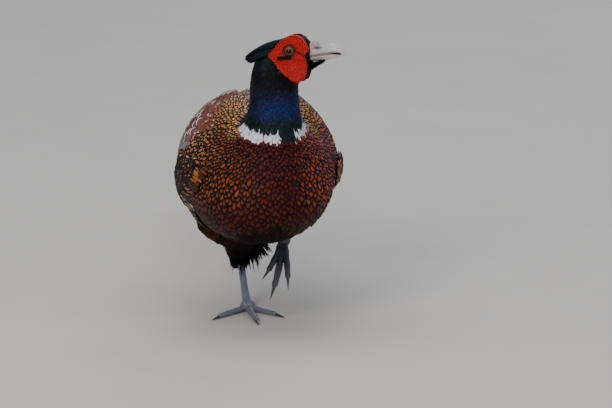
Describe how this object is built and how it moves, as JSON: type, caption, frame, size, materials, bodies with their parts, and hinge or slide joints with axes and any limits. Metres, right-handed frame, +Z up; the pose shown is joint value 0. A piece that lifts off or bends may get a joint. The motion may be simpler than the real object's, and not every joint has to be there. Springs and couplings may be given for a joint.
{
  "type": "common pheasant model",
  "caption": "Life-size still model of a cock common pheasant standing on one foot with the other foot lifted and its head turned aside.",
  "frame": {"origin": "middle of the standing foot's sole, on the floor", "axes": "+Z up, the bird's breast faces -Y, its tail +Y, its right side -X"},
  "size_m": [0.1635, 0.7152, 0.309],
  "materials": {
    "body_plumage": "glossy chestnut and copper feathers with dark edges",
    "neck_plumage": "blue-green metallic sheen over black feathers, white collar",
    "head_plumage": "short glossy green-black feathers",
    "wing_plumage": "matt brown, buff and grey feathers",
    "tail_plumage": "long olive-buff feathers with dark bars",
    "leg_plumage": "soft black-brown feathers",
    "red_skin": "bare red skin with fine bumps",
    "eye": "glossy eye, orange-brown iris and black pupil",
    "bill_horn": "smooth ivory horn",
    "spur_horn": "grey horn",
    "claw_horn": "dark horn",
    "leg_skin": "grey scaled skin"
  },
  "bodies": {
    "root": {"torso": "body_plumage", "neck": "neck_plumage", "head": "head_plumage", "eye_right": "eye", "eye_left": "eye", "bill_upper": "bill_horn", "bill_lower": "bill_horn", "wattle_right": "red_skin", "wattle_left": "red_skin", "ear_tuft_right": "head_plumage", "ear_tuft_left": "head_plumage", "wing_right": "wing_plumage", "wing_left": "wing_plumage", "tail": "tail_plumage", "thigh_right": "leg_plumage", "thigh_left": "leg_plumage", "shank_right": "leg_skin", "shank_left": "leg_skin", "spur_right": "spur_horn", "spur_left": "spur_horn", "toe_right_middle": "leg_skin", "claw_right_middle": "claw_horn", "toe_right_inner": "leg_skin", "claw_right_inner": "claw_horn", "toe_right_outer": "leg_skin", "claw_right_outer": "claw_horn", "toe_right_hind": "leg_skin", "claw_right_hind": "claw_horn", "toe_left_middle": "leg_skin", "claw_left_middle": "claw_horn", "toe_left_inner": "leg_skin", "claw_left_inner": "claw_horn", "toe_left_outer": "leg_skin", "claw_left_outer": "claw_horn", "toe_left_hind": "leg_skin", "claw_left_hind": "claw_horn"}
  },
  "joints": []
}
